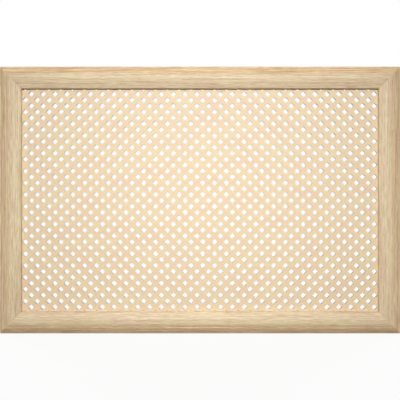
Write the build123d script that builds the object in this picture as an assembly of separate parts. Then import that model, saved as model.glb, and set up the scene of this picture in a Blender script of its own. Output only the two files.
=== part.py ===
"""Flat radiator screen: four mitred mouldings round a perforated sheet, hung on two steel hooks.

Millimetres. +Z is up, the front faces -Y and +X is to the right of someone who faces it. The origin is
the middle of the flat bottom edge.
"""

from build123d import *
import math
import os

# The whole screen
WIDTH = 900.0
HEIGHT = 600.0
MEMBER = 51.0  # width of each moulding, from the outer edge to the opening

# The moulding's face: (u, w) with u from the outer edge to the opening and w from the flat back to the
# front, then how far the stretch that ends there bulges from a straight line
OUTER_EDGE = 4.0
FACE_BELOW_QUIRK = ((2.0, 6.3, 0.5), (8.0, 11.5, 0.3), (16.0, 16.4, 0.5))
QUIRK_DEEP = 0.8
QUIRK_WIDE = 1.0
FACE_ABOVE_QUIRK = ((26.5, 19.0, 0.5), (47.5, 14.4, 1.0), (MEMBER, 12.0, 0.7))

# The groove that holds the sheet, and the sheet
GROOVE_DEEP = 9.0
GROOVE_WIDE = 4.4
REAR_LIP = 2.0
SHEET = 4.0
SIDE_GAP = 0.8
TOP_GAP = 2.6  # the sheet stands on the groove's floor, so all its play is above it
SHEET_SHIFT = -0.3  # it lies a little to the left between its side gaps

# The perforation: square holes that stand on a corner, staggered like the black fields of a chessboard
PITCH = 18.8  # from hole to hole along a diagonal row
HOLE = 9.0
COLUMNS, LEVELS = 60, 37  # whole holes in the opening; one more on each side is halved, in the groove
FIRST_ROW = -0.25  # place of the diagonal row nearest the pattern's middle, in pitches

# V-shaped joint nails, driven into the mitres from behind
NAIL_PLACES = (12.0, 27.0)  # u of each nail's point
NAIL_LEG = 8.0
NAIL_THICK = 0.8
NAIL_DEEP = 7.0
NAIL_HALF_ANGLE = 40.0

# Hooks and spacers: steel strip, bent at both ends, with a wider plate for the screws
STRIP_WIDE = 20.0
STRIP = 2.0
BEND = 3.0  # radius at the middle of the strip's thickness
PLATE_WIDE = 44.0
PLATE_TALL = 20.0
PLATE_CORNER = 4.0
HARDWARE_X = 300.0
HOOK_TOP = HEIGHT - 4.0
HOOK_REACH = 62.0  # from the frame's back to the far side of the tip
HOOK_TIP = 28.0
SPACER_BOTTOM = 10.0
SPACER_REACH = 25.0
SPACER_FOOT = 20.0
PAD = 1.5
HOOK_PAD = (18.0, 40.0)
SPACER_PAD = (18.0, 14.0)

# Pan-head screws
SCREW_SPREAD = 30.0
HEAD_RADIUS = 3.5
HEAD_TOP_RADIUS = 2.2
HEAD_TALL = 2.2
HEAD_RIM = 1.0
SHANK_RADIUS = 1.75
SHANK = 12.0
HOLE_PLAY = 0.25

BACK = OUTER_EDGE / 2  # Y of the frame's back
PLATE_FROM_BEND = BEND + STRIP / 2
SIDES = {"left": -1, "right": 1}
ENDS = {"top": 1, "bottom": -1}


def moulding_section():
    """The moulding's outline across its length, as it lies in the bottom rail."""
    groove_floor, groove_front = MEMBER - GROOVE_DEEP, REAR_LIP + GROOVE_WIDE
    quirk_u, quirk_w, _ = FACE_BELOW_QUIRK[-1]
    quirk_end = quirk_u + QUIRK_WIDE

    def at(u, w):
        return (BACK - w, u)

    def face(start, stretches):
        for u, w, bulge in stretches:
            yield SagittaArc(at(*start), at(u, w), bulge)
            start = (u, w)

    front = [
        *face((0, OUTER_EDGE), FACE_BELOW_QUIRK),
        Polyline(at(quirk_u, quirk_w), at(quirk_u, quirk_w - QUIRK_DEEP), at(quirk_end, quirk_w)),
        *face((quirk_end, quirk_w), FACE_ABOVE_QUIRK),
    ]
    _, lip_w, _ = FACE_ABOVE_QUIRK[-1]
    behind = Polyline(
        at(MEMBER, lip_w),
        at(MEMBER, groove_front),
        at(groove_floor, groove_front),
        at(groove_floor, REAR_LIP),
        at(MEMBER, REAR_LIP),
        at(MEMBER, 0),
        at(0, 0),
        at(0, OUTER_EDGE),
    )
    return Plane.YZ * make_face(Curve() + front + behind)


def member(length):
    """A moulding along X with its outer edge on Z = 0, cut at 45 degrees across both ends."""
    half = length / 2
    ends = Polygon(
        (-half, 0), (half, 0), (half - MEMBER, MEMBER), (MEMBER - half, MEMBER), align=None
    )
    blank = extrude(moulding_section(), half, both=True)
    return blank & extrude(Plane.XZ * ends, MEMBER, both=True)


def perforated_panel():
    """The sheet, its front against the groove's front wall and its bottom edge on the groove's floor.

    It is drawn as two halves of its thickness, each with slots along one diagonal. The slots cross in
    squares, which are the holes. The rear half is the front half turned upside down, face to back.
    """
    wide = WIDTH - 2 * (MEMBER - GROOVE_DEEP) - 2 * SIDE_GAP
    tall = HEIGHT - 2 * (MEMBER - GROOVE_DEEP) - TOP_GAP
    pattern_wide = (COLUMNS + 1) * PITCH / math.sqrt(2)
    pattern_tall = (LEVELS + 1) * PITCH / math.sqrt(2)
    rows = math.ceil((COLUMNS + LEVELS) / 4)
    slots = [
        Rot(0, 0, -45) * Pos(0, (row + FIRST_ROW) * PITCH) * Rectangle(wide + tall, HOLE)
        for row in range(-rows, rows + 1)
    ]
    openings = Rectangle(pattern_wide, pattern_tall) & (Sketch() + slots)
    front_half = extrude(Rectangle(wide, tall) - openings, SHEET / 2)
    mid_thickness = BACK - (REAR_LIP + GROOVE_WIDE - SHEET / 2)
    mid_height = MEMBER - GROOVE_DEEP + tall / 2
    place = Plane((SHEET_SHIFT, mid_thickness, mid_height), x_dir=(1, 0, 0), z_dir=(0, -1, 0))
    return [place * half for half in (front_half, Rot(180, 0, 0) * front_half)]


def corner_nails(side, end):
    """The joint nails of one mitre, flush with the frame's back, their legs spread towards the opening."""
    inwards = math.degrees(math.atan2(-end, -side))
    legs = [
        Rot(0, 0, inwards + turn) * Pos(NAIL_LEG / 2, 0) * Rectangle(NAIL_LEG, NAIL_THICK)
        for turn in (-NAIL_HALF_ANGLE, NAIL_HALF_ANGLE)
    ]
    outer_x, outer_z = side * WIDTH / 2, (HEIGHT if end > 0 else 0)
    nails = []
    for u in NAIL_PLACES:
        point = (outer_x - side * u, BACK, outer_z - end * u)
        place = Plane(point, x_dir=(1, 0, 0), z_dir=(0, -1, 0))
        nails.append(extrude(place * (legs[0] + legs[1]), NAIL_DEEP))
    return nails


def bent_strip(path, plate_middle):
    """Strip that follows a path in (Y, Z), with its plate and the plate's two screw holes."""
    line = FilletPolyline(*path, radius=BEND)
    strip = extrude(Plane.YZ * trace(line, STRIP), STRIP_WIDE / 2, both=True)
    place = Plane((0, BACK, plate_middle), x_dir=(-1, 0, 0), z_dir=(0, 1, 0))
    holes = GridLocations(SCREW_SPREAD, 0, 2, 1) * Circle(SHANK_RADIUS + HOLE_PLAY)
    plate = RectangleRounded(PLATE_WIDE, PLATE_TALL, PLATE_CORNER) - holes
    return strip + extrude(place * plate, STRIP)


def hook():
    """Lies over the radiator's top edge: plate, arm backwards, tip down."""
    near, far = BACK + STRIP / 2, BACK + HOOK_REACH - STRIP / 2
    arm = HOOK_TOP - STRIP / 2
    path = [(near, hook_plate_middle()), (near, arm), (far, arm), (far, HOOK_TOP - HOOK_TIP)]
    return bent_strip(path, hook_plate_middle())


def spacer():
    """Holds the bottom of the screen off the radiator: plate, arm backwards, foot up."""
    near, far = BACK + STRIP / 2, BACK + SPACER_REACH - STRIP / 2
    arm = SPACER_BOTTOM + STRIP / 2
    foot = SPACER_BOTTOM + SPACER_FOOT
    path = [(near, spacer_plate_middle()), (near, arm), (far, arm), (far, foot)]
    return bent_strip(path, spacer_plate_middle())


def hook_plate_middle():
    return HOOK_TOP - PLATE_FROM_BEND - PLATE_TALL / 2


def spacer_plate_middle():
    return SPACER_BOTTOM + PLATE_FROM_BEND + PLATE_TALL / 2


def hook_pad():
    """Rubber under the hook's arm, which bears on the radiator."""
    wide, long = HOOK_PAD
    middle = BACK + HOOK_REACH / 2
    return Pos(0, middle, HOOK_TOP - STRIP - PAD / 2) * Box(wide, long, PAD)


def spacer_pad():
    """Rubber on the far face of the spacer's foot."""
    wide, tall = SPACER_PAD
    foot_middle = SPACER_BOTTOM + (PLATE_FROM_BEND + SPACER_FOOT) / 2
    return Pos(0, BACK + SPACER_REACH + PAD / 2, foot_middle) * Box(wide, PAD, tall)


def screw():
    """Pan-head screw along Y with a plain shank, its head behind and bearing on Y = 0."""
    outline = Polygon(
        (0, HEAD_TALL),
        (0, -SHANK),
        (SHANK_RADIUS, -SHANK),
        (SHANK_RADIUS, 0),
        (HEAD_RADIUS, 0),
        (HEAD_RADIUS, HEAD_RIM),
        (HEAD_TOP_RADIUS, HEAD_TALL),
        align=None,
    )
    return Rot(-90, 0, 0) * revolve(Plane.XZ * outline, Axis.Z)


def screws(height):
    """The pair of screws that holds one plate, each through the plate and into the rail."""
    return [
        Pos(x, BACK + STRIP, height) * screw() for x in (-SCREW_SPREAD / 2, SCREW_SPREAD / 2)
    ]


def on_side(side, shapes):
    """The shapes of a hook or spacer, moved from the middle to their place on one side."""
    return [Pos(side * HARDWARE_X, 0, 0) * shape for shape in shapes]


def fixings():
    """Every node but the frame and the sheet: {name: its solids}."""
    nodes = {}
    for end_name, end in ENDS.items():
        for side_name, side in SIDES.items():
            nodes[f"corner_nails_{end_name}_{side_name}"] = corner_nails(side, end)
    for side_name, side in SIDES.items():
        nodes[f"hook_{side_name}"] = on_side(side, [hook()])
        nodes[f"hook_pad_{side_name}"] = on_side(side, [hook_pad()])
        nodes[f"hook_screws_{side_name}"] = on_side(side, screws(hook_plate_middle()))
        nodes[f"spacer_{side_name}"] = on_side(side, [spacer()])
        nodes[f"spacer_pad_{side_name}"] = on_side(side, [spacer_pad()])
        nodes[f"spacer_screws_{side_name}"] = on_side(side, screws(spacer_plate_middle()))
    return nodes


def frame(fixed):
    """The four members in place, each with seats for the nails and screws that enter it."""
    rail, stile = member(WIDTH), member(HEIGHT)
    members = {
        "bottom_rail": rail,
        "top_rail": Pos(0, 0, HEIGHT) * Rot(0, 180, 0) * rail,
        "left_stile": Pos(-WIDTH / 2, 0, HEIGHT / 2) * Rot(0, 90, 0) * stile,
        "right_stile": Pos(WIDTH / 2, 0, HEIGHT / 2) * Rot(0, -90, 0) * stile,
    }
    driven = [s for name, solids in fixed.items() if "nails" in name or "screws" in name for s in solids]
    return {name: [shape - driven] for name, shape in members.items()}


def main():
    nodes = fixings()
    nodes.update(frame(nodes))
    nodes["perforated_panel"] = perforated_panel()
    os.makedirs("parts", exist_ok=True)
    for name, shapes in nodes.items():
        solids = [solid for shape in shapes for solid in shape.solids()]
        export_step(Compound(solids), os.path.join("parts", f"{name}.step"))


main()
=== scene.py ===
"""Looks of the radiator screen: oak-film mouldings round a punched sheet, hung on galvanised steel.

Metres, in the frame's own axes: +Z is up and the front faces -Y. Names ending in _MM are millimetres.
"""

import math

import bmesh
import bpy
from mathutils import Matrix, Vector


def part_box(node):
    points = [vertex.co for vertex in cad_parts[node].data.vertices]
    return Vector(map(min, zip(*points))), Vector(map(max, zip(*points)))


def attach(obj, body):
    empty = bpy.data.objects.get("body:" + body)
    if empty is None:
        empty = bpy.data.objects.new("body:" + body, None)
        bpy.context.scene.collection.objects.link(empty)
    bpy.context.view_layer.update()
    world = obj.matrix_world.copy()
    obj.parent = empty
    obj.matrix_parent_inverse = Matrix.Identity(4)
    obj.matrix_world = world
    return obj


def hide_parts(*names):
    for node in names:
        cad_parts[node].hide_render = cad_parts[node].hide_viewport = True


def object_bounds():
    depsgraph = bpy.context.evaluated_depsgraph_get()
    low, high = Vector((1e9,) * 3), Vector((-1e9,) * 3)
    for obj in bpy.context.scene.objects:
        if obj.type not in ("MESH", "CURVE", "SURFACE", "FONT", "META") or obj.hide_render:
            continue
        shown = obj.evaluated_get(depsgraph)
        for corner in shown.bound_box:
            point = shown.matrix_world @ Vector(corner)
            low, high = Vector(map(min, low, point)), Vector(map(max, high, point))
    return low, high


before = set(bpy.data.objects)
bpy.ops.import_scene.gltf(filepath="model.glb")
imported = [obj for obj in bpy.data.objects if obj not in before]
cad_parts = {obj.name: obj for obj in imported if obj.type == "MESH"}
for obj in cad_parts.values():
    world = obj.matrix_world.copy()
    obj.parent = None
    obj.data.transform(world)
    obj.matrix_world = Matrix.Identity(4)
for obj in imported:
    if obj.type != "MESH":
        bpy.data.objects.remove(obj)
cad_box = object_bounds()

MM = 0.001
WELD = 0.001 * MM  # vertices closer than this become one
FLAT_DEGREES = 0.5  # faces of the CAD that meet at less than this become one
SHARP_DEGREES = 35.0  # faces that meet at less than this are shaded as one curve

# Where a piece of board keeps its printed film, its raw board and its cut edge in its list of materials
FILM, BOARD, CUT = range(3)

# The moulding's face, as (u, w, bulge): u from the outer edge to the opening, w from the flat back to the
# front, and how far the stretch that ends there bulges. A narrow groove, the quirk, divides the face
OUTER_EDGE_MM = 4.0
FACE_BELOW_QUIRK_MM = ((2.0, 6.3, 0.5), (8.0, 11.5, 0.3), (16.0, 16.4, 0.5))
QUIRK_DEEP_MM = 0.8
QUIRK_WIDE_MM = 1.0
QUIRK_DEEPEST = 0.3  # where across its width it is deepest, as a share
FACE_ABOVE_QUIRK_MM = ((26.5, 19.0, 0.5), (47.5, 14.4, 1.0), (51.0, 12.0, 0.7))
FACE_STEPS = 8  # points along each curved stretch of the face
GROOVE_DEEP_MM = 9.0
GROOVE_FRONT_MM = 6.4
REAR_LIP_MM = 2.0
ARRIS_MM = 0.35  # how far a sharp corner of the section is eased
ARRIS_SHARE = 0.4  # the most that this takes of a short side
MITRE_EASE_MM = 0.25  # the film's soft edge at the mitre
MITRE_GAP_MM = 0.03  # from a member's end to the middle of the joint
GRAIN_SHIFT = 2.0  # how far along the print each member starts after the one before
STREAKS_AND_PAINTED_LIGHT_TO_MM, PLAIN_FROM_MM = 18.0, 28.0  # round the face from the outer edge, where the outer slopes' stronger streaks and their painted light, a lighter and warmer tone, give way to the plain print

# The perforation. The outermost lattice lines, one beyond those counted here on each side, lie in the
# groove, and the holes on them are halved
PITCH_MM = 18.8  # from hole to hole along a diagonal row
HOLE_MM = 9.0
HOLE_CORNER_MM = 0.6  # radius
CORNER_STEPS = 2  # segments in half of one rounded hole corner
COLUMNS, LEVELS = 60, 37  # lattice lines with whole holes, upright and level

# The fixings
STRIP_MM = 2.0  # thickness of the hooks and spacers
STEEL_EDGE_MM = 0.3
RUBBER_EDGE_MM = 0.4
NAIL_EDGE_MM = 0.1
NAIL_STANDS_OUT_MM = 0.15  # from the frame's back
DRIVER_TURNS = {"left": (17, 62), "right": (57, 37)}  # degrees, of the recesses in each pair of screws

# The screws. Shares are of the radius or height of the head, or of the radius or length of the shank
SCREW_SIDES = 24
SHANK_RADIUS_MM = 1.75
THREAD_PITCH_MM = 1.4
THREAD_STEPS = 6  # rings in one turn
THREAD_CORE_SHARE = 0.72
POINT_LONG_SHARE = 0.25
POINT_BLUNT_SHARE = 0.08
HEAD_UNDERSIDE_SHARE = 0.97
HEAD_RIM_SHARE = 0.12
DOME_START_SHARE = 0.3
DOME_POWER = 0.8  # 1 would be an ellipse, and less is fuller
DOME_RINGS = 7
RECESS_ARM_SHARE = 0.55
RECESS_HALF_WIDTH_SHARE = 0.16
RECESS_FLOOR_SHARE = 0.25
RECESS_TOP_SHARE = 1.2  # the cutter reaches out of the head
RECESS_TAPER = 0.55  # an arm's length at the floor, as a share of its length at the top

# Camera
CAMERA_DISTANCE = 1.45  # from the frame's outline
PICTURE_WIDTH = 0.8998  # what the picture spans at the outline
SENSOR_MM = 36.0

# Studio
FLOOR_REACH = 6.0  # from its middle to each side
FLOOR_GAP_MM = 0.5  # under the object
FLOOR_FADE = (0.7, 3.0)  # how far from its middle the floor starts to turn white, and is white


# ---- mesh helpers

def to_object(name, bm, materials=()):
    """Makes an object of a bmesh, with its faces outwards and its curves smooth."""
    bmesh.ops.recalc_face_normals(bm, faces=bm.faces)
    for face in bm.faces:
        face.smooth = True
    for edge in bm.edges:
        edge.smooth = edge.calc_face_angle(math.pi) < math.radians(SHARP_DEGREES)
    mesh = bpy.data.meshes.new(name)
    bm.to_mesh(mesh)
    bm.free()
    for material in materials:
        mesh.materials.append(material)
    piece = bpy.data.objects.new(name, mesh)
    bpy.context.scene.collection.objects.link(piece)
    return piece


def stand_for(piece, node):
    """The piece takes the place of a CAD node on the one body there is."""
    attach(piece, "root")
    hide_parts(node)


def bridge(bm, lower, upper):
    """A band of faces between two rings of vertices."""
    for n in range(len(lower)):
        after = (n + 1) % len(lower)
        bm.faces.new((lower[n], lower[after], upper[after], upper[n]))


# ---- the frame

def arc(start, end, bulge):
    """Points after start on the arc to end that bulges to the left of the way there."""
    (u0, w0), (u1, w1) = start, end
    chord = math.hypot(u1 - u0, w1 - w0)
    radius = (chord ** 2 / 4 + bulge ** 2) / (2 * bulge)
    half_angle = math.asin(chord / 2 / radius)
    along = ((u1 - u0) / chord, (w1 - w0) / chord)
    out = (-along[1], along[0])
    for step in range(1, FACE_STEPS + 1):
        angle = half_angle * (2 * step / FACE_STEPS - 1)
        run = radius * math.sin(angle) + chord / 2
        rise = radius * (math.cos(angle) - 1) + bulge
        yield (u0 + along[0] * run + out[0] * rise, w0 + along[1] * run + out[1] * rise)


def eased(before, corner, after):
    """Three points in place of a sharp corner."""
    def towards(other):
        share = min(ARRIS_SHARE, ARRIS_MM / math.dist(corner, other))
        return tuple(c + (o - c) * share for c, o in zip(corner, other))
    first, last = towards(before), towards(after)
    middle = tuple((a + 2 * c + b) / 4 for a, c, b in zip(first, corner, last))
    return [first, middle, last]


def moulding_section():
    """The section as [(u, w)] and, for the stretch after each point, its material."""
    width = FACE_ABOVE_QUIRK_MM[-1][0]
    quirk_u, quirk_w, _ = FACE_BELOW_QUIRK_MM[-1]
    quirk_floor = (quirk_u + QUIRK_DEEPEST * QUIRK_WIDE_MM, quirk_w - QUIRK_DEEP_MM)
    quirk_end = (quirk_u + QUIRK_WIDE_MM, quirk_w)
    (crest_u, crest_w, crest_bulge), *beyond_crest = FACE_ABOVE_QUIRK_MM

    face = [(0.0, OUTER_EDGE_MM)]
    for u, w, bulge in FACE_BELOW_QUIRK_MM:
        face += arc(face[-1], (u, w), bulge)
    face[-1:] = eased(face[-2], face[-1], quirk_floor)
    face.append(quirk_floor)
    slope = list(arc(quirk_end, (crest_u, crest_w), crest_bulge))
    face += eased(quirk_floor, quirk_end, slope[0]) + slope
    for u, w, bulge in beyond_crest:
        face += arc(face[-1], (u, w), bulge)

    groove_floor = width - GROOVE_DEEP_MM
    groove = [(width, GROOVE_FRONT_MM), (groove_floor, GROOVE_FRONT_MM), (groove_floor, REAR_LIP_MM)]
    back = [
        *eased((groove_floor, REAR_LIP_MM), (width, REAR_LIP_MM), (width, 0.0)),
        *eased((width, REAR_LIP_MM), (width, 0.0), (0.0, 0.0)),
        *eased((width, 0.0), (0.0, 0.0), (0.0, OUTER_EDGE_MM)),
    ]
    # The film is wrapped round the outer edge, which is the stretch after the last point
    finishes = [FILM] * len(face) + [CUT] * len(groove) + [BOARD] * (len(back) - 1) + [FILM]
    return face + groove + back, finishes


def shrunk(points, distance):
    """A closed outline moved inwards; the points run clockwise as (u, w)."""
    moved = []
    for before, here, after in zip(points[-1:] + points[:-1], points, points[1:] + points[:1]):
        along = (after[0] - before[0], after[1] - before[1])
        length = math.hypot(*along)
        moved.append((here[0] + along[1] / length * distance, here[1] - along[0] / length * distance))
    return moved


def moulding_rings(bm, points, length, back):
    """Four outlines along the member. The first and last are smaller, which eases the mitres' edges."""
    at_mitre = shrunk(points, MITRE_EASE_MM - MITRE_GAP_MM)
    rings = []
    for end, outline, pull in (
        (-1, at_mitre, MITRE_GAP_MM),
        (-1, points, MITRE_EASE_MM),
        (1, points, MITRE_EASE_MM),
        (1, at_mitre, MITRE_GAP_MM),
    ):
        ring = []
        for (u, w), (plain_u, _) in zip(outline, points):
            along = end * (length / 2 - (plain_u + pull) * MM)
            ring.append(bm.verts.new((along, back - w * MM, u * MM)))
        rings.append(ring)
    return rings


def moulding(name, node, length, place, start, materials):
    """One mitred member. It is made along X with its outer edge on Z = 0 and then put in its place.

    Its UV map holds real metres: along the grain, then round the section. start shifts the grain.
    """
    points, finishes = moulding_section()
    girth = [0.0]
    for here, after in zip(points, points[1:] + points[:1]):
        girth.append(girth[-1] + math.dist(here, after) * MM)
    bm = bmesh.new()
    grain = bm.loops.layers.uv.new("Grain")
    rings = moulding_rings(bm, points, length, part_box(node)[1].y)
    for first, second in zip(rings, rings[1:]):
        for here in range(len(points)):
            after = (here + 1) % len(points)
            face = bm.faces.new((first[here], second[here], second[after], first[after]))
            face.material_index = finishes[here]
            across = (girth[here], girth[here], girth[here + 1], girth[here + 1])
            for loop, round_section in zip(face.loops, across):
                loop[grain].uv = (loop.vert.co.x + start, round_section)
    for mitre in (rings[0], rings[-1]):
        bm.faces.new(mitre).material_index = BOARD
    bmesh.ops.transform(bm, matrix=place, verts=bm.verts)
    stand_for(to_object(name, bm, materials), node)


def mouldings(materials):
    """The four members, each turned about Y from the bottom one's place."""
    low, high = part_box("bottom_rail")[0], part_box("top_rail")[1]
    width, height = high.x - low.x, high.z - low.z
    sides = (
        ("bottom", "bottom_rail", width, 0, (0, 0)),
        ("top", "top_rail", width, 180, (0, height)),
        ("left", "left_stile", height, 90, (-width / 2, height / 2)),
        ("right", "right_stile", height, -90, (width / 2, height / 2)),
    )
    for number, (side, node, length, turn, (x, z)) in enumerate(sides):
        place = Matrix.Translation((x, 0, z)) @ Matrix.Rotation(math.radians(turn), 4, "Y")
        moulding(f"moulding_{side}", node, length, place, GRAIN_SHIFT * number, materials)


# ---- the punched sheet

def hole_quarter():
    """A quarter of a hole's edge, from the hole's side tip on +X to its upper tip on +Z."""
    half_diagonal = HOLE_MM / math.sqrt(2) * MM
    corner = HOLE_CORNER_MM * MM
    centre = half_diagonal - corner * math.sqrt(2)
    side = []
    for step in range(CORNER_STEPS + 1):
        angle = math.radians(45) * step / CORNER_STEPS
        side.append((centre + corner * math.cos(angle), corner * math.sin(angle)))
    return side + [(z, x) for x, z in reversed(side)]


def is_hole(column, level):
    """Whether there is a hole where these two lattice lines cross."""
    return (column + level) % 2 == 1


class SheetMesh:
    """The sheet in one piece, cell by cell between the lattice lines that join the holes' centres.

    Two opposite corners of each cell lie in holes. Outlines are lists of (x, z).
    """

    def __init__(self):
        self.low, self.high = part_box("perforated_panel")
        self.middle = (self.low + self.high) / 2
        self.step = PITCH_MM / math.sqrt(2) * MM
        self.quarter = hole_quarter()
        self.bm = bmesh.new()
        self.grain = self.bm.loops.layers.uv.new("Grain")
        self.known = {}

    def vertex(self, x, z, y):
        """The vertex at this place, made when it is first asked for."""
        key = (round(x / WELD), round(z / WELD), y)
        if key not in self.known:
            self.known[key] = self.bm.verts.new((x, y, z))
        return self.known[key]

    def face(self, corners, material):
        """A face whose grain map is the sheet's own plane, in metres."""
        made = self.bm.faces.new([self.vertex(*corner) for corner in corners])
        made.material_index = material
        for loop in made.loops:
            loop[self.grain].uv = (loop.vert.co.x, loop.vert.co.z)

    def flat(self, outline):
        """The same outline on the front and on the back."""
        self.face([(x, z, self.low.y) for x, z in outline], FILM)
        self.face([(x, z, self.high.y) for x, z in reversed(outline)], BOARD)

    def wall(self, start, end):
        """The cut edge between two points, from the back to the front."""
        back = [(*start, self.high.y), (*end, self.high.y)]
        front = [(*end, self.low.y), (*start, self.low.y)]
        self.face(back + front, CUT)

    def crossing(self, column, level):
        """Where these two lattice lines cross."""
        x = self.middle.x + (column - (COLUMNS + 1) / 2) * self.step
        z = self.middle.z + (level - (LEVELS + 1) / 2) * self.step
        return (x, z)

    def cell(self, column, level):
        """The cell to the right of and above a crossing, with the walls of the holes at its corners."""
        outline = []
        for right, up in ((0, 0), (1, 0), (1, 1), (0, 1)):
            x, z = self.crossing(column + right, level + up)
            if not is_hole(column + right, level + up):
                outline.append((x, z))
                continue
            into_x, into_z = 1 - 2 * right, 1 - 2 * up
            edge = [(x + into_x * a, z + into_z * b) for a, b in self.quarter]
            if into_x == into_z:
                edge.reverse()
            outline += edge
            for start, end in zip(edge, edge[1:]):
                self.wall(start, end)
        self.flat(outline)

    def outermost_line(self, first, last):
        """Points from one corner of the lattice to the next, and whether a hole lies after each."""
        (column, level), (last_column, last_level) = first, last
        count = max(abs(last_column - column), abs(last_level - level))
        step_x, step_z = (last_column - column) // count, (last_level - level) // count
        reach = self.quarter[0][0]
        points, hole_after = [], []
        for at in range(count + 1):
            x, z = self.crossing(column + step_x * at, level + step_z * at)
            if not is_hole(column + step_x * at, level + step_z * at):
                points.append((x, z))
                hole_after.append(False)
                continue
            near_tip = (x - step_x * reach, z - step_z * reach)
            far_tip = (x + step_x * reach, z + step_z * reach)
            points += [(x, z) if at == 0 else near_tip, (x, z) if at == count else far_tip]
            hole_after += [True, False]
        return points, hole_after

    def border(self):
        """The plain border, hidden in the groove, in four strips that meet at the corners."""
        low, high = self.low, self.high
        outer = [(low.x, low.z), (high.x, low.z), (high.x, high.z), (low.x, high.z)]
        right, top = COLUMNS + 1, LEVELS + 1
        lattice = [(0, 0), (right, 0), (right, top), (0, top)]
        for here, after in ((0, 1), (1, 2), (2, 3), (3, 0)):
            inner, hole_after = self.outermost_line(lattice[here], lattice[after])
            self.flat([outer[here], outer[after], *reversed(inner)])
            for start, end, is_open in zip(inner, inner[1:], hole_after):
                if is_open:
                    self.wall(end, start)
            self.wall(outer[here], outer[after])


def punched_sheet(materials):
    """The sheet, with its cells and its border."""
    sheet = SheetMesh()
    for column in range(COLUMNS + 1):
        for level in range(LEVELS + 1):
            sheet.cell(column, level)
    sheet.border()
    stand_for(to_object("punched_sheet", sheet.bm, materials), "perforated_panel")


# ---- steel and rubber

def eased_copy(name, node, edge_mm, material, stands_out_mm=0.0):
    """A copy of a CAD node with rounded edges. Its rear end moves back by stands_out_mm."""
    edge = edge_mm * MM
    bm = bmesh.new()
    bm.from_mesh(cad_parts[node].data)
    bmesh.ops.remove_doubles(bm, verts=bm.verts, dist=WELD)
    bmesh.ops.dissolve_limit(bm, angle_limit=math.radians(FLAT_DEGREES), verts=bm.verts, edges=bm.edges)
    bmesh.ops.recalc_face_normals(bm, faces=bm.faces)
    sharp = [e for e in bm.edges if e.calc_face_angle(0) > math.radians(SHARP_DEGREES)]
    bmesh.ops.bevel(
        bm, geom=sharp, offset=edge, segments=2, profile=0.5, affect="EDGES", clamp_overlap=True
    )
    rear_end = max(vert.co.y for vert in bm.verts) - 2 * edge
    for vert in bm.verts:
        if vert.co.y > rear_end:
            vert.co.y += stands_out_mm * MM
    stand_for(to_object(name, bm, [material]), node)


def screw_blank(head_radius, head_tall, shank):
    """A threaded pan-head screw without its recess, its head on +Y above a bearing face at Y = 0."""
    shank_radius = SHANK_RADIUS_MM * MM
    core = THREAD_CORE_SHARE * shank_radius
    bm = bmesh.new()
    rows = []

    def ring(radius, y, thread=0.0, turn=0.0):
        """A ring of vertices, on which the thread stands out most at the angle turn."""
        row = []
        for n in range(SCREW_SIDES):
            angle = 2 * math.pi * n / SCREW_SIDES
            swollen = radius + thread * (0.5 + 0.5 * math.cos(angle - turn))
            row.append(bm.verts.new((swollen * math.cos(angle), y, swollen * math.sin(angle))))
        rows.append(row)

    count = int(shank / (THREAD_PITCH_MM * MM) * THREAD_STEPS)
    for n in range(count + 1):
        y = -shank + shank * n / count
        taper = min(1.0, (y + shank) / (POINT_LONG_SHARE * shank) + POINT_BLUNT_SHARE)
        ring(core * taper, y, (shank_radius - core) * taper, 2 * math.pi * n / THREAD_STEPS)
    ring(head_radius * HEAD_UNDERSIDE_SHARE, 0.0)
    ring(head_radius, head_tall * HEAD_RIM_SHARE)
    for n in range(DOME_RINGS):
        angle = math.radians(90) * n / DOME_RINGS
        rise = DOME_START_SHARE + (1 - DOME_START_SHARE) * math.sin(angle)
        ring(head_radius * math.cos(angle) ** DOME_POWER, head_tall * rise)
    for lower, upper in zip(rows, rows[1:]):
        bridge(bm, lower, upper)
    for row, y in ((rows[0], -shank), (rows[-1], head_tall)):
        tip = bm.verts.new((0, y, 0))
        for n in range(SCREW_SIDES):
            bm.faces.new((row[n], row[(n + 1) % SCREW_SIDES], tip))
    return to_object("screw_blank", bm)


def screw_recess(head_radius, head_tall):
    """What the cross recess takes out of the head, narrower towards its floor."""
    arm, thick = RECESS_ARM_SHARE * head_radius, RECESS_HALF_WIDTH_SHARE * head_radius
    bm = bmesh.new()
    rings = []
    for height, scale in ((RECESS_FLOOR_SHARE, RECESS_TAPER), (RECESS_TOP_SHARE, 1.0)):
        ring = []
        for turn in (0, 90, 180, 270):
            turned = Matrix.Rotation(math.radians(turn), 3, "Y")
            for x, z in ((arm * scale, thick), (arm * scale, -thick), (thick, -thick)):
                ring.append(bm.verts.new(turned @ Vector((x, head_tall * height, z))))
        bm.faces.new(ring)
        rings.append(ring)
    bridge(bm, *rings)
    return to_object("screw_recess", bm)


def recessed_screw(head_radius, head_tall, shank):
    """The mesh of a screw with the recess cut into its head."""
    blank = screw_blank(head_radius, head_tall, shank)
    recess = screw_recess(head_radius, head_tall)
    cut = blank.modifiers.new("recess", "BOOLEAN")
    cut.operation = "DIFFERENCE"
    cut.object = recess
    cut.solver = "EXACT"
    evaluated = blank.evaluated_get(bpy.context.evaluated_depsgraph_get())
    mesh = bpy.data.meshes.new_from_object(evaluated)
    for helper in (blank, recess):
        bpy.data.objects.remove(helper)
    return mesh


def screw_head_tall(node):
    """How far the node's screws stand off the plate that they hold."""
    plate = node.replace("_screws", "")
    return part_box(node)[1].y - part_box(plate)[0].y - STRIP_MM * MM


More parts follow.
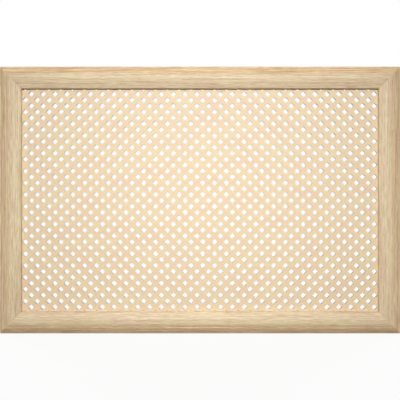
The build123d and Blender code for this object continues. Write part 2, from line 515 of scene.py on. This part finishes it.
def screw_pair(name, node, mesh, apart, turns, material):
    """Two screws where the CAD node has them, each recess turned as the driver left it."""
    low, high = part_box(node)
    middle = (low + high) / 2
    bearing = high.y - screw_head_tall(node)
    bm = bmesh.new()
    for side, turn in zip((-1, 1), turns):
        place = Matrix.Translation((middle.x + side * apart / 2, bearing, middle.z))
        screw = mesh.copy()
        screw.transform(place @ Matrix.Rotation(math.radians(turn), 4, "Y"))
        bm.from_mesh(screw)
        bpy.data.meshes.remove(screw)
    bmesh.ops.remove_doubles(bm, verts=bm.verts, dist=WELD)
    stand_for(to_object(name, bm, [material]), node)


def fixings(steel, screw_zinc, nail_steel, rubber):
    """Everything on the back."""
    low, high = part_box("hook_screws_left")
    head_radius = (high.z - low.z) / 2
    apart = high.x - low.x - 2 * head_radius
    head_tall = screw_head_tall("hook_screws_left")
    screw = recessed_screw(head_radius, head_tall, high.y - low.y - head_tall)
    for side, turns in DRIVER_TURNS.items():
        for kind in ("hook", "spacer"):
            plate, pad, screws = f"{kind}_{side}", f"{kind}_pad_{side}", f"{kind}_screws_{side}"
            eased_copy(f"{kind}_steel_{side}", plate, STEEL_EDGE_MM, steel)
            eased_copy(f"{kind}_rubber_{side}", pad, RUBBER_EDGE_MM, rubber)
            screw_pair(f"{kind}_screw_pair_{side}", screws, screw, apart, turns, screw_zinc)
        for end in ("top", "bottom"):
            name, node = f"joint_nails_{end}_{side}", f"corner_nails_{end}_{side}"
            eased_copy(name, node, NAIL_EDGE_MM, nail_steel, NAIL_STANDS_OUT_MM)


# ---- shader nodes

class Nodes:
    """A node tree. A keyword sets or links the input of that name, with _ for a space."""

    def __init__(self, tree):
        self.tree = tree

    def feed(self, socket, value):
        """Links the socket if value is another node's output, and sets it otherwise."""
        if isinstance(value, bpy.types.NodeSocket):
            self.tree.links.new(value, socket)
        else:
            socket.default_value = value

    def put(self, node, **inputs):
        """Gives a node these inputs."""
        for name, value in inputs.items():
            self.feed(node.inputs[name.replace("_", " ")], value)
        return node

    def add(self, kind, settings=(), **inputs):
        """Adds a shader node of this kind, with its settings and its inputs."""
        node = self.tree.nodes.new("ShaderNode" + kind)
        for name, value in dict(settings).items():
            setattr(node, name, value)
        return self.put(node, **inputs)

    def in_order(self, node, *values):
        """The first output of a node whose inputs take the values in order."""
        for socket, value in zip(node.inputs, values):
            self.feed(socket, value)
        return node.outputs[0]

    def calc(self, operation, *values):
        """The result of one Math node."""
        return self.in_order(self.add("Math", {"operation": operation}), *values)

    def mix(self, share, first, second):
        """Shaders mixed, with share of the second."""
        return self.in_order(self.add("MixShader"), share, first, second)

    def spread(self, value, low, high, start=0.0, end=1.0):
        """low where value is start or less, high where it is end or more, and even between."""
        return self.add(
            "MapRange", Value=value, From_Min=start, From_Max=end, To_Min=low, To_Max=high
        ).outputs["Result"]


class Finish(Nodes):
    """A material and its nodes."""

    def __init__(self, name):
        self.material = bpy.data.materials.new(name)
        self.material.use_nodes = True
        super().__init__(self.material.node_tree)

    def grain_map(self):
        """The piece's own map in metres: along the grain, then across it."""
        return self.add("UVMap", {"uv_map": "Grain"}).outputs["UV"]

    def grain(self, length, width, shift=0.0):
        """The grain map, on which one unit is length along the grain and width across it."""
        at, scale = self.grain_map(), (1 / length, 1 / width, 1)
        return self.add("Mapping", Vector=at, Scale=scale, Location=(shift, shift, 0)).outputs["Vector"]

    def place(self, size):
        """The place in the frame, on which one unit is size."""
        at = self.add("TexCoord").outputs["Object"]
        return self.add("Mapping", Vector=at, Scale=(1 / size,) * 3).outputs["Vector"]

    def noise(self, at, detail, roughness=0.5):
        """Noise round 0.5, whose largest spots are about one unit wide."""
        return self.add("TexNoise", Vector=at, Scale=1.0, Detail=detail, Roughness=roughness).outputs[0]

    def total(self, middle, *weighted):
        """middle plus each weight times how far its texture is from 0.5, the texture's own middle."""
        total = middle - sum(weight for _, weight in weighted) / 2
        for texture, weight in weighted:
            total = self.calc("MULTIPLY_ADD", texture, weight, total)
        return total

    def colour(self, level, dark, light):
        """From dark to light as level goes from 0 to 1."""
        node = self.add("ValToRGB", Fac=level)
        node.color_ramp.elements[0].color = (*dark, 1)
        node.color_ramp.elements[1].color = (*light, 1)
        return node.outputs["Color"]

    def bump(self, height, distance, strength):
        """Fine relief: a normal that leans as if the surface rose by distance where height is 1."""
        return self.add("Bump", Height=height, Distance=distance, Strength=strength).outputs["Normal"]

    def finish(self, **inputs):
        """The material, with these inputs on its shader."""
        self.put(self.tree.nodes["Principled BSDF"], **inputs)
        return self.material


# ---- finishes

def linear(red, green, blue):
    """A colour as it is seen, 0 to 255, in the renderer's light units."""
    def channel(value):
        value /= 255
        return value / 12.92 if value <= 0.04045 else ((value + 0.055) / 1.055) ** 2.4
    return (channel(red), channel(green), channel(blue))


def oak_film(name, dark, light, figure):
    """Printed oak: drifts of tone and hue, long and short streaks, the flat-sawn figure, and pores.

    figure scales how strongly the print shows. On a moulding the outer slopes, below the quirk, have
    stronger streaks and are painted lighter and warmer, a painted light. Each texture has its length and
    width in metres, and a shift that keeps it apart from the others.
    """
    film = Finish(name)
    across = film.add("SeparateXYZ", Vector=film.grain_map()).outputs["Y"]
    above_quirk = film.spread(across, 0.0, 1.0, start=STREAKS_AND_PAINTED_LIGHT_TO_MM * MM, end=PLAIN_FROM_MM * MM)
    drift = film.noise(film.grain(0.40, 0.012), detail=2)
    tint = film.noise(film.grain(0.07, 0.022, 9.1), detail=1)
    long_streaks = film.noise(film.grain(0.15, 0.0022, 7.3), detail=3, roughness=0.6)
    streaks = film.noise(film.grain(0.028, 0.0017, 3.1), detail=3, roughness=0.7)
    edge_streaks = film.noise(film.grain(0.10, 0.0034, 4.4), detail=2)
    pores = film.noise(film.grain(0.006, 0.00035, 1.9), detail=2, roughness=0.6)
    waves = film.add(
        "TexWave", {"wave_type": "BANDS", "bands_direction": "Y"}, Vector=film.grain(0.30, 0.030, 5.7),
        Scale=1.0, Distortion=4.0, Detail=2.0, Detail_Scale=1.2,
    ).outputs["Fac"]
    level = film.total(
        0.5,
        (drift, 0.25 * figure),
        (long_streaks, 1.1 * figure),
        (streaks, 1.75 * figure),
        (film.spread(above_quirk, edge_streaks, 0.5), 1.5 * figure),
        (waves, 0.10 * figure),
        (pores, 0.25 * figure),
    )
    # Painted light: below the quirk the hue turns warmer and the saturation and value rise, so the outer
    # slopes render lighter and warmer
    toned = film.add(
        "HueSaturation",
        Color=film.colour(level, dark, light),
        Hue=film.total(0.4925, (tint, 0.05), (above_quirk, 0.009)),
        Saturation=film.spread(above_quirk, 1.14, 1.0),
        Value=film.spread(above_quirk, 1.06, 1.0),
    ).outputs["Color"]
    relief = film.total(0.5, (streaks, 0.5), (pores, 0.5))
    return film.finish(
        Base_Color=toned,
        Roughness=film.spread(streaks, 0.42, 0.58),
        Specular_IOR_Level=0.35,
        Normal=film.bump(relief, 0.05 * MM, 0.6),
    )


def raw_board(name, dark, light):
    """Pressed fibre: fine specks in a slow drift of tone."""
    board = Finish(name)
    specks = board.noise(board.place(0.0012), detail=4, roughness=0.7)
    drift = board.noise(board.place(0.05), detail=2)
    level = board.total(0.5, (specks, 1.2), (drift, 0.5))
    return board.finish(
        Base_Color=board.colour(level, dark, light),
        Roughness=board.spread(specks, 0.75, 0.95),
        Specular_IOR_Level=0.0,
        Normal=board.bump(specks, 0.06 * MM, 0.5),
    )


def galvanised(name, dark, light):
    """Zinc-dipped strip with its crystals, dulled by handling."""
    zinc = Finish(name)
    crystals = zinc.add("TexVoronoi", Vector=zinc.place(0.004), Scale=1.0).outputs["Color"]
    shade = zinc.add("SeparateColor", Color=crystals).outputs["Red"]
    film = zinc.noise(zinc.place(0.012), detail=4, roughness=0.65)
    level = zinc.total(0.5, (shade, 0.5), (film, 0.9))
    return zinc.finish(
        Base_Color=zinc.colour(level, dark, light),
        Metallic=1.0,
        Roughness=zinc.spread(level, 0.5, 0.3),
        Normal=zinc.bump(film, 0.02 * MM, 0.5),
    )


def plated(name, dark, light, roughness):
    """Turned or drawn steel with fine marks."""
    steel = Finish(name)
    marks = steel.noise(steel.place(0.0009), detail=3, roughness=0.6)
    return steel.finish(
        Base_Color=steel.colour(marks, dark, light),
        Metallic=1.0,
        Roughness=steel.spread(marks, roughness + 0.1, roughness - 0.1),
    )


def black_rubber(name, dark, light):
    """Matt rubber with a greyish bloom."""
    rubber = Finish(name)
    bloom = rubber.noise(rubber.place(0.004), detail=4, roughness=0.7)
    return rubber.finish(
        Base_Color=rubber.colour(bloom, dark, light),
        Roughness=rubber.spread(bloom, 0.7, 0.9),
        Specular_IOR_Level=0.3,
        Normal=rubber.bump(bloom, 0.03 * MM, 0.4),
    )


# ---- studio

def seen(nodes):
    """1 for a ray that is seen, straight or in a reflection, and 0 for one that lights something."""
    rays = nodes.add("LightPath").outputs
    value = rays["Is Camera Ray"]
    for other in ("Is Glossy Ray", "Is Transmission Ray"):
        value = nodes.calc("MAXIMUM", value, rays[other])
    return value


def backdrop(ambient):
    """White to the eye in every direction, with little light of its own."""
    world = bpy.data.worlds.new("studio")
    bpy.context.scene.world = world
    world.use_nodes = True
    nodes = Nodes(world.node_tree)
    nodes.tree.nodes.clear()
    dim = nodes.add("Background", Color=(1.0, 0.985, 0.96, 1), Strength=ambient).outputs[0]
    white = nodes.add("Background", Color=(1, 1, 1, 1)).outputs[0]
    nodes.add("OutputWorld", Surface=nodes.mix(seen(nodes), dim, white))


def floor_paper(near_white, pale, bounce):
    """Paper that turns all white farther off.

    near_white is the white share beside the object and pale the paper's grey to the eye. To the
    light, the paper is the darker grey bounce, so that it doesn't fill the shade under the mouldings.
    """
    material = bpy.data.materials.new("floor_paper")
    material.use_nodes = True
    nodes = Nodes(material.node_tree)
    nodes.tree.nodes.clear()
    eye = seen(nodes)
    at = nodes.add("NewGeometry").outputs["Position"]
    away = nodes.add("VectorMath", {"operation": "LENGTH"}, Vector=at).outputs["Value"]
    start, end = FLOOR_FADE
    share = nodes.calc("MULTIPLY", eye, nodes.spread(away, near_white, 1.0, start, end))
    paper = nodes.add("BsdfDiffuse", Color=nodes.spread(eye, bounce, pale)).outputs[0]
    white = nodes.add("Emission").outputs[0]
    nodes.add("OutputMaterial", Surface=nodes.mix(share, paper, white))
    return material


def floor(paper):
    """A floor just under the object, which shows its shadow faintly."""
    level = cad_box[0].z - FLOOR_GAP_MM * MM
    bm = bmesh.new()
    corners = ((-1, -1), (1, -1), (1, 1), (-1, 1))
    bm.faces.new([bm.verts.new((x * FLOOR_REACH, y * FLOOR_REACH, level)) for x, y in corners])
    to_object("floor", bm, [paper])


def softbox(name, place, aim, size, watts, spread=180.0):
    """A soft rectangular lamp; a spread below 180 degrees is a grid that keeps its light together."""
    lamp = bpy.data.lights.new(name, "AREA")
    lamp.shape = "RECTANGLE"
    lamp.size, lamp.size_y = size
    lamp.energy = watts
    lamp.spread = math.radians(spread)
    holder = bpy.data.objects.new(name, lamp)
    holder.location = place
    holder.rotation_euler = (Vector(aim) - Vector(place)).to_track_quat("-Z", "Y").to_euler()
    bpy.context.scene.collection.objects.link(holder)


def camera():
    """Straight on, with the frame's outline as wide as the picture."""
    low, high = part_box("left_stile")
    outline = high.y - OUTER_EDGE_MM * MM
    data = bpy.data.cameras.new("camera")
    data.sensor_width = SENSOR_MM
    data.lens = SENSOR_MM * CAMERA_DISTANCE / PICTURE_WIDTH
    holder = bpy.data.objects.new("camera", data)
    holder.location = (0, outline - CAMERA_DISTANCE, (low.z + high.z) / 2)
    holder.rotation_euler = (math.radians(90), 0, 0)
    bpy.context.scene.collection.objects.link(holder)
    bpy.context.scene.camera = holder


# ---- the scene

FRAME_DARK, FRAME_LIGHT = linear(190, 161, 120), linear(254, 235, 197)
SHEET_DARK, SHEET_LIGHT = linear(222, 197, 158), linear(250, 228, 191)
BOARD_DARK, BOARD_LIGHT = linear(138, 106, 72), linear(196, 162, 118)
EDGE_DARK, EDGE_LIGHT = linear(96, 70, 44), linear(138, 108, 74)
ZINC_DARK, ZINC_LIGHT = linear(150, 154, 158), linear(206, 210, 212)
SCREW_DARK, SCREW_LIGHT = linear(168, 170, 174), linear(220, 222, 226)
NAIL_DARK, NAIL_LIGHT = linear(120, 122, 124), linear(176, 178, 180)
RUBBER_DARK, RUBBER_LIGHT = linear(30, 30, 31), linear(58, 57, 56)

camera()
frame_film = oak_film("frame_oak_film", FRAME_DARK, FRAME_LIGHT, figure=1.0)
sheet_film = oak_film("sheet_oak_film", SHEET_DARK, SHEET_LIGHT, figure=0.35)
board = raw_board("raw_board", BOARD_DARK, BOARD_LIGHT)
cut_edge = raw_board("cut_edge", EDGE_DARK, EDGE_LIGHT)
mouldings([frame_film, board, cut_edge])
punched_sheet([sheet_film, board, cut_edge])
fixings(
    steel=galvanised("bracket_zinc", ZINC_DARK, ZINC_LIGHT),
    screw_zinc=plated("screw_zinc", SCREW_DARK, SCREW_LIGHT, roughness=0.3),
    nail_steel=plated("nail_steel", NAIL_DARK, NAIL_LIGHT, roughness=0.4),
    rubber=black_rubber("pad_rubber", RUBBER_DARK, RUBBER_LIGHT),
)

backdrop(ambient=0.07)
floor(floor_paper(near_white=0.92, pale=0.85, bounce=0.2))
softbox("key_softbox", place=(0, -4.0, 1.9), aim=(0, 0, 0.27), size=(1.0, 0.4), watts=5.45, spread=30.0)
softbox("top_softbox", place=(0, -0.9, 1.35), aim=(0, 0, 0.3), size=(1.4, 0.35), watts=1.5)
softbox("back_softbox_left", place=(1.5, 1.4, 1.8), aim=(0, 0, 0.3), size=(0.8, 0.6), watts=34.0)
softbox("back_softbox_right", place=(-1.5, 1.4, 1.8), aim=(0, 0, 0.3), size=(0.8, 0.6), watts=34.0)

view = bpy.context.scene.view_settings
view.view_transform = "Standard"
